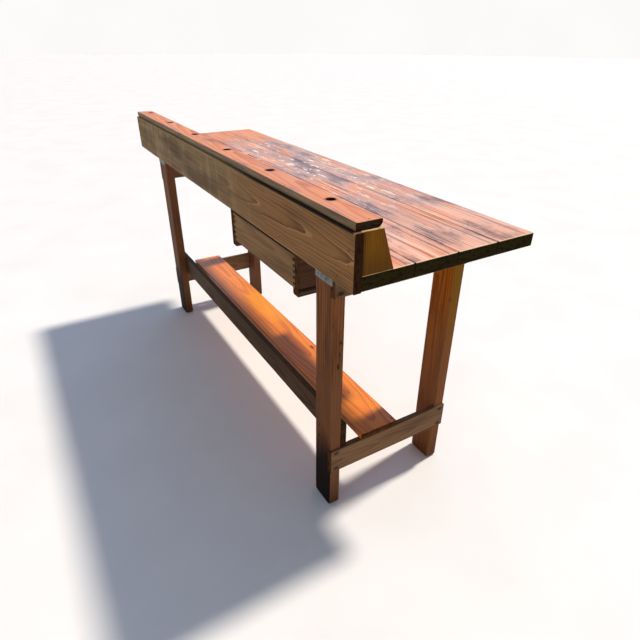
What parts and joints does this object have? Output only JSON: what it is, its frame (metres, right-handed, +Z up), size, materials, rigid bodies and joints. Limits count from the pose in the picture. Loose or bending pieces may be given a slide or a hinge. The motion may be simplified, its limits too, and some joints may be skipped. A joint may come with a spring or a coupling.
{
  "type": "woodworking bench",
  "caption": "Free-standing wooden workbench with a planked top, a raised drilled tool rail along the back, let-in end rails, a low shelf and a sliding drawer hung under the top.",
  "frame": {"origin": "on the floor, under the middle of the bench's box", "axes": "+X along the bench, +Y from the tool rail towards the worker and the way the drawer opens, +Z up"},
  "size_m": [1.927, 0.595, 1.014],
  "materials": {
    "board_wood": "weathered",
    "bracket_wood": "old oil finish",
    "cap_wood": "worn",
    "drawer_wood": "old oil finish",
    "hanger_wood": "old oil finish",
    "knob_wood": "worn by hands",
    "leg_wood": "old oil finish, dirty at the feet",
    "nail_iron": "dark, rusted",
    "panel_wood": "unfinished",
    "rail_wood": "old oil finish",
    "screw_steel": "dull",
    "shelf_wood": "worn",
    "top_wood": "worn, stained, paint-spotted",
    "zinc_steel": "zinc plated, dull"
  },
  "bodies": {
    "bench": {"angle_screws": "screw_steel", "back_board": "board_wood", "back_board_nails": "nail_iron", "back_stretcher": "rail_wood", "cap_bracket_far": "bracket_wood", "cap_bracket_near": "bracket_wood", "cap_nails": "nail_iron", "drawer_hanger_far": "hanger_wood", "drawer_hanger_near": "hanger_wood", "drawer_runner_far": "hanger_wood", "drawer_runner_near": "hanger_wood", "hanger_nails": "nail_iron", "leg_far_back": "leg_wood", "leg_far_front": "leg_wood", "leg_near_back": "leg_wood", "leg_near_front": "leg_wood", "lower_rail_far": "rail_wood", "lower_rail_near": "rail_wood", "rail_nails": "nail_iron", "runner_nails": "nail_iron", "shelf_board": "shelf_wood", "shelf_nails": "nail_iron", "steel_angle_far": "zinc_steel", "steel_angle_near": "zinc_steel", "stretcher_nails": "nail_iron", "tool_rail_cap": "cap_wood", "top_nails": "nail_iron", "top_plank_1": "top_wood", "top_plank_2": "top_wood", "top_plank_3": "top_wood", "top_plank_4": "top_wood", "upper_rail_far": "rail_wood", "upper_rail_near": "rail_wood"},
    "drawer": {"drawer_side_far": "drawer_wood", "drawer_side_near": "drawer_wood", "drawer_back": "drawer_wood", "drawer_inner_front": "drawer_wood", "drawer_bottom": "panel_wood", "drawer_face": "drawer_wood", "drawer_knob": "knob_wood", "drawer_face_screws": "screw_steel", "knob_screw": "screw_steel"}
  },
  "joints": [
    {"name": "drawer_slide", "type": "slide", "parent": "bench", "child": "drawer", "axis": [0, 1, 0], "range_m": [0, 0.32]}
  ]
}
